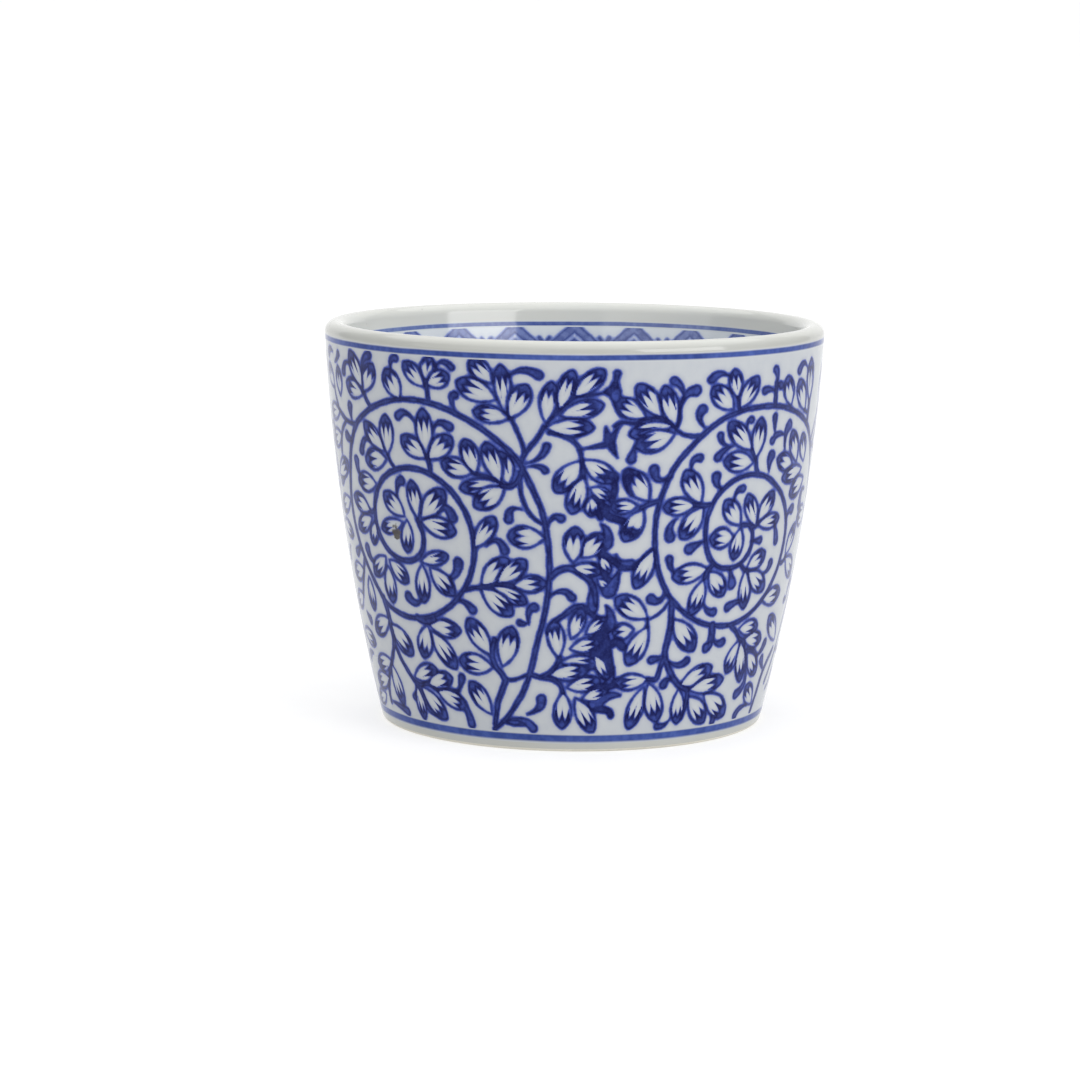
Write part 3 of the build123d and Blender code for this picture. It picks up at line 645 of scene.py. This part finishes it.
def glaze_shader(name, shine):
    """A glossy shader with the slow waviness of a dipped glaze in its normal."""
    material, shader = new_material(name, 0.09)
    shader.inputs["IOR"].default_value = 1.5
    shader.inputs["Specular IOR Level"].default_value = shine
    place = add_node(material, "TexCoord")
    waves = add_node(material, "TexNoise", Scale=130.0, Detail=2.0, Roughness=0.45)
    bump = add_node(material, "Bump", Strength=0.35, Distance=0.00012)
    link(material, place.outputs["Object"], waves.inputs["Vector"])
    link(material, waves.outputs["Fac"], bump.inputs["Height"])
    link(material, bump.outputs["Normal"], shader.inputs["Normal"])
    return material, shader, place


def spread(material, source, low, high, to_low=0.0, to_high=1.0, smooth=True):
    """A value brought from one span into another."""
    node = add_node(material, "MapRange", interpolation_type="SMOOTHSTEP" if smooth else "LINEAR")
    spans = {"From Min": low, "From Max": high, "To Min": to_low, "To Max": to_high}
    for name, value in spans.items():
        node.inputs[name].default_value = value
    link(material, source, node.inputs["Value"])
    return node.outputs["Result"]


def cloudy(material, place, scale, detail=3.0, *span):
    """A soft noise on the piece, brought from one span into another if they are given."""
    noise = add_node(material, "TexNoise", Scale=scale, Detail=detail)
    link(material, place.outputs["Object"], noise.inputs["Vector"])
    return spread(material, noise.outputs["Fac"], *span) if span else noise.outputs["Fac"]


def combine(material, operation, first, second):
    """Arithmetic on two values, each a socket or a number."""
    node = add_node(material, "Math", operation=operation)
    for socket, value in zip(node.inputs, (first, second)):
        if isinstance(value, (int, float)):
            socket.default_value = value
        else:
            link(material, value, socket)
    return node.outputs["Value"]


def mix(material, share, first, second):
    """Two colours mixed by a share, each a socket or a colour."""
    node = add_node(material, "Mix", data_type="RGBA")
    link(material, share, node.inputs[0])
    for socket, colour in ((node.inputs[6], first), (node.inputs[7], second)):
        if isinstance(colour, tuple):
            socket.default_value = (*colour, 1)
        else:
            link(material, colour, socket)
    return node.outputs[2]


SPECK = (-31.3, 35.0, 1.05)  # how far round, how high, how wide
BROWNS = ((0.022, 0.022, 0.024), (0.11, 0.095, 0.075))


def iron_speck(material, place, colour):
    """A brown speck of iron burnt through the glaze, over the colour beneath."""
    turn, up = SPECK[0] / WORKED_AT, SPECK[1]
    out = radius_at(OUTER_WALL, up) / 1000
    away = add_node(material, "VectorMath", operation="DISTANCE")
    away.inputs[1].default_value = (out * math.sin(turn), -out * math.cos(turn), up / 1000)
    link(material, place.outputs["Object"], away.inputs[0])
    ragged = cloudy(material, place, 1100.0, 3.0, 0.3, 0.7, -0.6, 0.6, False)
    far = combine(material, "MULTIPLY", away.outputs["Value"], 1000.0)
    far = combine(material, "ADD", far, ragged)
    share = spread(material, far, SPECK[2] - 0.25, SPECK[2] + 0.35, 0.95, 0.0)
    return mix(material, share, colour, mix(material, cloudy(material, place, 1500.0), *BROWNS))


# Unevenness of the ink's edge: how fine, and how far either way
WOBBLES = ((2600.0, 0.03), (520.0, 0.07))


def printed_glaze(name, ground, inks, halo=0.28, softness=0.24, shine=0.12, speck=False):
    """Glaze over a print: white ground, and ink whose depth and thinness the mesh carries."""
    material, shader, place = glaze_shader(name, shine)
    deep, thin = inks
    ink = add_node(material, "Attribute", attribute_name="ink").outputs["Fac"]
    thinned = add_node(material, "Attribute", attribute_name="thin").outputs["Fac"]
    for scale, most in WOBBLES:
        wobble = cloudy(material, place, scale, 2.0, 0.3, 0.7, -most, most, False)
        ink = combine(material, "ADD", ink, wobble)
    inked = spread(material, ink, -softness, 0.05)
    sunk = spread(material, ink, -0.05, 0.05 + softness)
    stain = spread(material, ink, -0.85, 0.1, 0.0, halo)
    middle = combine(material, "MULTIPLY", spread(material, ink, 0.12, 0.72), thinned)
    uneven = cloudy(material, place, 900.0, 2.0, 0.35, 0.65, 0.55, 1.1)
    middle = combine(material, "MULTIPLY", middle, uneven)
    wash = cloudy(material, place, 520.0, 4.0, 0.42, 0.72, 0.0, 0.45)
    fine = cloudy(material, place, 2800.0, 2.0, 0.45, 0.75, 0.0, 0.30)
    washed = combine(material, "MULTIPLY", combine(material, "ADD", wash, fine), 0.55)
    paleness = combine(material, "ADD", combine(material, "MULTIPLY", middle, 0.8), washed)
    stained = mix(material, stain, mix(material, cloudy(material, place, 60.0), *ground), thin)
    edge = mix(material, inked, stained, tuple(1.25 * c for c in thin))
    colour = mix(material, sunk, edge, mix(material, paleness, deep, thin))
    if speck:
        colour = iron_speck(material, place, colour)
    link(material, colour, shader.inputs["Base Color"])
    return material


def carry_print(piece, sheet):
    """Gives each point of a turned piece the print's value at its place on the wall."""
    spots = np.empty(3 * len(piece.data.vertices))
    piece.data.vertices.foreach_get("co", spots)
    x, y, up = spots.reshape(-1, 3).T
    turn = np.round((np.arctan2(x, -y) / (2 * np.pi) + 0.5) * FINE_TURN).astype(int) % FINE_TURN
    row = np.round(np.interp(up * 1000, sheet.up, np.arange(len(sheet.up)))).astype(int)
    for name, values in (("ink", sheet.ink), ("thin", sheet.thin)):
        attribute = piece.data.attributes.new(name, "FLOAT", "POINT")
        attribute.data.foreach_set("value", values[row, turn])


SCROLL_GROUND = ((0.424, 0.446, 0.464), (0.462, 0.480, 0.497))
SCROLL_BLUES = ((0.0004, 0.0014, 0.050), (0.034, 0.056, 0.260))  # where it is deep, and thin
scroll = scroll_print()
scroll_glaze = printed_glaze("scroll_under_glaze", SCROLL_GROUND, SCROLL_BLUES, speck=True)
RINGS = 4
cuts = np.round(np.linspace(0, SCROLL_ROWS, RINGS + 1)).astype(int)
for number, (first, last) in enumerate(zip(cuts[:-1], cuts[1:]), 1):
    low, high = scroll.up[first], scroll.up[last]
    section = strip(OUTER_WALL, low, high, last - first, SKIN)
    ring = turn_round(f"scroll_ring_{number}", section, FINE_TURN)
    carry_print(ring, scroll)
    ring.data.materials.append(scroll_glaze)
    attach(ring, "root")
    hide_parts("scroll_transfer")

# Rim line: a narrow blue line banded on the wheel with a loaded brush, so it is a little thinner
# and thicker by turns, and its edges bleed softly into the glaze.
RIM_LINE = (64.9, 66.15)


def height_on(material, place):
    """Height above the table, in millimetres."""
    split = add_node(material, "SeparateXYZ")
    link(material, place.outputs["Object"], split.inputs["Vector"])
    return combine(material, "MULTIPLY", split.outputs["Z"], 1000.0)


def banded_glaze(name, low, high, lower_edge, upper_edge, inks, ground, shine=0.12):
    """Glaze over a banded line between two heights, each with its own softness of edge."""
    material, shader, place = glaze_shader(name, shine)
    up = height_on(material, place)
    drift = cloudy(material, place, 45.0, 3.0, 0.3, 0.7, -0.07, 0.07, False)
    up = combine(material, "ADD", up, drift)
    above = spread(material, up, low, low + lower_edge)
    below = spread(material, up, high - upper_edge, high, 1.0, 0.0)
    inked = combine(material, "MULTIPLY", above, below)
    slow = cloudy(material, place, 70.0, 3.0, 0.35, 0.65, 0.0, 0.5)
    fine = cloudy(material, place, 900.0, 3.0, 0.35, 0.75, 0.0, 0.5)
    blue = mix(material, combine(material, "ADD", slow, fine), *inks)
    link(material, mix(material, inked, ground, blue), shader.inputs["Base Color"])
    return material


BAND_BLUES = ((0.022, 0.045, 0.20), (0.06, 0.10, 0.33))
rim_line = turn_round("rim_line_glazed", strip(OUTER_WALL, *RIM_LINE, 9, SKIN), FINE_TURN)
rim_line.data.materials.append(
    banded_glaze("rim_line_under_glaze", *RIM_LINE, 0.35, 0.35, BAND_BLUES, SCROLL_GROUND[1]))
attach(rim_line, "root")
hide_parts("rim_line")

# Foot band: a wider line banded above the foot in the same way, with a ragged lower edge where
# the blue has run towards the wiped foot.
FOOT_BAND = (1.45, 3.1)
foot_band = turn_round("foot_band_glazed", strip(OUTER_WALL, *FOOT_BAND, 13, SKIN), FINE_TURN)
foot_band.data.materials.append(
    banded_glaze("foot_band_under_glaze", *FOOT_BAND, 0.5, 0.35, BAND_BLUES, SCROLL_GROUND[0]))
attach(foot_band, "root")
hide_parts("foot_band")

# Outer glaze: the clear coat that the cup is dipped in, plain where there is no print. It runs
# from the crest of the lip to the line under it, fills the gaps by the lines, and stops above
# the foot. It looks warm white, because nothing blue lies near. Its white is painted darker on
# the lip below the crest, as painted shade, and lighter at the crest, as a painted highlight.
HEIGHT = OUTER_WALL[3]
LIP_ROUND = 1.764
LIP_CENTRE_UP = HEIGHT - LIP_ROUND
FOOT_ROUND, BARE_FOOT = 0.8, 0.5
# painted shade on the lip's face below the crest, and a painted highlight on the crest itself
SHADED_LIP_WHITE, LIT_CREST_WHITE = (0.40, 0.403, 0.378), (0.58, 0.583, 0.545)
MOTTLE, FINE_SPECKS = (0.56, 0.60, 0.62), (0.40, 0.40, 0.38)


def round_corner(centre, radius, start, end, steps):
    """Points round part of a circle, by degrees from straight out."""
    turns = np.radians(np.linspace(start, end, steps + 1))
    return [(centre[0] + radius * math.cos(t), centre[1] + radius * math.sin(t)) for t in turns]


def plain_glaze(name, lower_white, upper_white, lower_up, upper_up, shine=0.5):
    """Plain glaze, from one white low down to another higher up: a cool white turning warm inside,
    and on the outer lip a white painted darker as painted shade turning to a lighter crest painted
    as a highlight.
    """
    material, shader, place = glaze_shader(name, shine)
    base = mix(material, spread(material, height_on(material, place), lower_up, upper_up), lower_white, upper_white)
    mottle = cloudy(material, place, 75.0, 3.0, 0.3, 0.7, 0.0, 0.10)
    specks = cloudy(material, place, 900.0, 1.0, 0.76, 0.80, 0.0, 0.5)
    shaded = mix(material, mottle, base, MOTTLE)
    link(material, mix(material, specks, shaded, FINE_SPECKS), shader.inputs["Base Color"])
    return material


def closed_behind(face, depth_of):
    """A coat's section from its face, and the same points set back as its other side."""
    return face + [depth_of(*point) for point in reversed(face)]


def lip_half(wall, sense, wall_stop):
    """Face of the lip from a height on one wall up to the crest."""
    centre = (radius_at(wall, LIP_CENTRE_UP, sense * LIP_ROUND), LIP_CENTRE_UP)
    arc_out, arc_up, _ = wall_centre(wall)
    lean = math.degrees(math.atan2(LIP_CENTRE_UP - arc_up, centre[0] - arc_out))
    start = lean if sense > 0 else 180 + lean
    corner = round_corner(centre, LIP_ROUND, start, 90, 22)
    face = [(radius_at(wall, up), up) for up in np.linspace(wall_stop, corner[0][1], 5)[:-1]]
    return face + corner + [(CREST, HEIGHT)]


def set_back(centre_out, depth=SKIN):
    """Moves a point of the lip's face into the body."""
    def move(out, up):
        run, rise = out - centre_out, up - LIP_CENTRE_UP
        if rise <= 0:
            return out - math.copysign(depth, run), up
        far = math.hypot(run, rise)
        return out - depth * run / far, up - depth * rise / far
    return move


def join_rings(name, *rings):
    """Rings of one coat, made one object."""
    bpy.ops.object.select_all(action="DESELECT")
    for ring in rings:
        ring.select_set(True)
    bpy.context.view_layer.objects.active = rings[0]
    bpy.ops.object.join()
    rings[0].name = rings[0].data.name = name
    return rings[0]


CREST = 40.58  # radius of the lip's highest line
outer_lip = lip_half(OUTER_WALL, 1, RIM_LINE[1])
lip_ring = turn_round("outer_lip", closed_behind(outer_lip, set_back(CREST)), PLAIN_TURN)
foot_centre = (radius_at(OUTER_WALL, FOOT_ROUND, FOOT_ROUND), FOOT_ROUND)
wiped_from = math.degrees(math.asin((BARE_FOOT - FOOT_ROUND) / FOOT_ROUND))
foot_face = round_corner(foot_centre, FOOT_ROUND, wiped_from, -14, 4)
foot_face += [(radius_at(OUTER_WALL, up), up) for up in np.linspace(0.7, FOOT_BAND[0], 6)]
foot_section = closed_behind(foot_face, lambda out, up: (out - SKIN, up))
foot_ring = turn_round("outer_foot", foot_section, FINE_TURN)
outer_glaze = join_rings("outer_glaze_coat", lip_ring, foot_ring)
outer_glaze.data.materials.append(
    plain_glaze("outer_plain_glaze", SHADED_LIP_WHITE, LIT_CREST_WHITE, 66.6, 68.3))
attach(outer_glaze, "root")
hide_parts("outer_glaze")

# Inner line: a thin blue line under the lip, inside, banded before the border was laid.
INNER_LINE = (63.9, 64.8)


def inner_strip(low, high, rows):
    """Section of a coat on the inner wall, its face towards the axis."""
    face = [(radius_at(INNER_WALL, up), up) for up in np.linspace(high, low, rows + 1)]
    return face + [(radius_at(INNER_WALL, up, -SKIN), up) for up in np.linspace(low, high, 2)]


INNER_WHITE, INNER_WARM = (0.60, 0.635, 0.66), (0.60, 0.605, 0.57)
INNER_BLUES = ((0.05, 0.085, 0.30), (0.14, 0.20, 0.43))
inner_line = turn_round("inner_line_glazed", inner_strip(*INNER_LINE, 9), FINE_TURN)
inner_line.data.materials.append(
    banded_glaze("inner_line_under_glaze", *INNER_LINE, 0.15, 0.2, INNER_BLUES, INNER_WHITE, 0.65))
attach(inner_line, "root")
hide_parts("inner_line")

# Border transfer: a trellis of crossed strokes below that line, with a dot in each lozenge and a
# line along its lower edge, softer and paler than the scroll outside.
BORDER = (53.7, 63.7)
BORDER_ROWS = 50
LOZENGES = 22


def border_print():
    """The whole border: lozenges between crossed bars, with chevrons, dots and knots of ink."""
    around = (np.arange(FINE_TURN) - FINE_TURN / 2) * ONCE_ROUND / FINE_TURN
    sheet = PrintSheet(around, np.linspace(*BORDER, BORDER_ROWS + 1))
    high, foot = BORDER[1], BORDER[0] + 0.6
    pitch, rise = ONCE_ROUND / LOZENGES, (high - foot) / 2
    bars, chevrons, dots = [], [], []
    for number in range(-1, LOZENGES + 1):
        x = number * pitch - ONCE_ROUND / 2
        mid = x + pitch / 2
        for side in (-1, 1):
            bars.append((1.7, [(x, high), (x + side * pitch, foot)]))
            for start, top, span in ((x, high - 2.3, 0.62), (mid, high - rise - 2.3, 0.5)):
                end = (start + side * pitch / 2 * span, top - rise * span)
                chevrons.append((0.55, [(start, top), end]))
            end = (x + side * pitch * 0.42, high - 0.5 - rise * 0.84)
            dots.append((0.45, [(x + side * 0.5, high - 0.5), end]))
        for width, at, top, end in (1.3, x, 0.92, 1.12), (1.5, mid, 1.9, 2), (1.6, mid, 0.86, 1):
            dots.append((width, [(at, high - rise * top), (at, high - rise * end)]))
        knot_up, knot_down = high - rise * 0.42, high - rise * 0.62
        dots.append((0.7, [(mid - 0.9, knot_up), (mid, knot_down), (mid + 0.9, knot_up)]))
    edge = [(0.9, [(around[0] - 1, foot), (around[-1] + 1, foot)])]
    sheet.stems(bars, 1.0)
    sheet.stems(chevrons + edge, 0.3)
    sheet.stems(dots, 0.2)
    return sheet


BORDER_GROUND = (INNER_WHITE, (0.69, 0.73, 0.77))
BORDER_BLUES = ((0.022, 0.042, 0.22), (0.15, 0.20, 0.45))
border = turn_round("border_glazed", inner_strip(*BORDER, BORDER_ROWS), FINE_TURN)
carry_print(border, border_print())
border.data.materials.append(printed_glaze(
    "border_under_glaze", BORDER_GROUND, BORDER_BLUES, halo=0.22, softness=0.26, shine=0.65))
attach(border, "root")
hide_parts("border_transfer")

# Inner glaze: poured in and swilled round, over the crest's inner half, the wall below the border,
# the rounded corner of the well and its floor.
FLOOR_UP, CORNER_ROUND = 6.5, 10.0
corner_up = FLOOR_UP + CORNER_ROUND
corner_centre = (radius_at(INNER_WALL, corner_up, CORNER_ROUND), corner_up)
arc_out, arc_up, _ = wall_centre(INNER_WALL)
corner_lean = math.degrees(math.atan2(corner_up - arc_up, corner_centre[0] - arc_out))
corner = round_corner(corner_centre, CORNER_ROUND, corner_lean, -90, 24)
well = [(radius_at(INNER_WALL, up), up) for up in np.linspace(BORDER[0], corner[0][1], 28)[:-1]]
well += corner + [(out, FLOOR_UP) for out in np.linspace(corner_centre[0], 0.0, 9)[1:]]
well_back = [(0.0, FLOOR_UP - SKIN), (corner_centre[0], FLOOR_UP - SKIN)]
well_back += round_corner(corner_centre, CORNER_ROUND + SKIN, -90, corner_lean, 12)[1:]
back_ups = np.linspace(corner[0][1] + 0.5, BORDER[0], 8)
well_back += [(radius_at(INNER_WALL, up, -SKIN), up) for up in back_ups]
inner_lip = lip_half(INNER_WALL, -1, INNER_LINE[1])
lip_ring = turn_round("inner_lip", closed_behind(inner_lip, set_back(CREST)), PLAIN_TURN)
gap_section = inner_strip(BORDER[1], INNER_LINE[0], 2)
gap_ring = turn_round("gap_under_inner_line", gap_section, FINE_TURN)
well_ring = turn_round("well", well[::-1] + well_back[::-1], PLAIN_TURN, open_at_axis=True)
inner_glaze = join_rings("inner_glaze_coat", lip_ring, gap_ring, well_ring)
inner_glaze.data.materials.append(
    plain_glaze("inner_plain_glaze", INNER_WHITE, INNER_WARM, 63.8, 65.2))
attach(inner_glaze, "root")
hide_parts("inner_glaze")

# Base glaze: the same clear glaze in the recess under the floor, left there when the foot ring
# around it was wiped. It keeps the shape it has in CAD.
base_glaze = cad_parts["base_glaze"]
# its white runs from the lip's painted-shade white at its lower edge to the inner white higher up
base_glaze.material_slots[0].material = plain_glaze(
    "base_plain_glaze", SHADED_LIP_WHITE, INNER_WHITE, 0.5, 2.2)
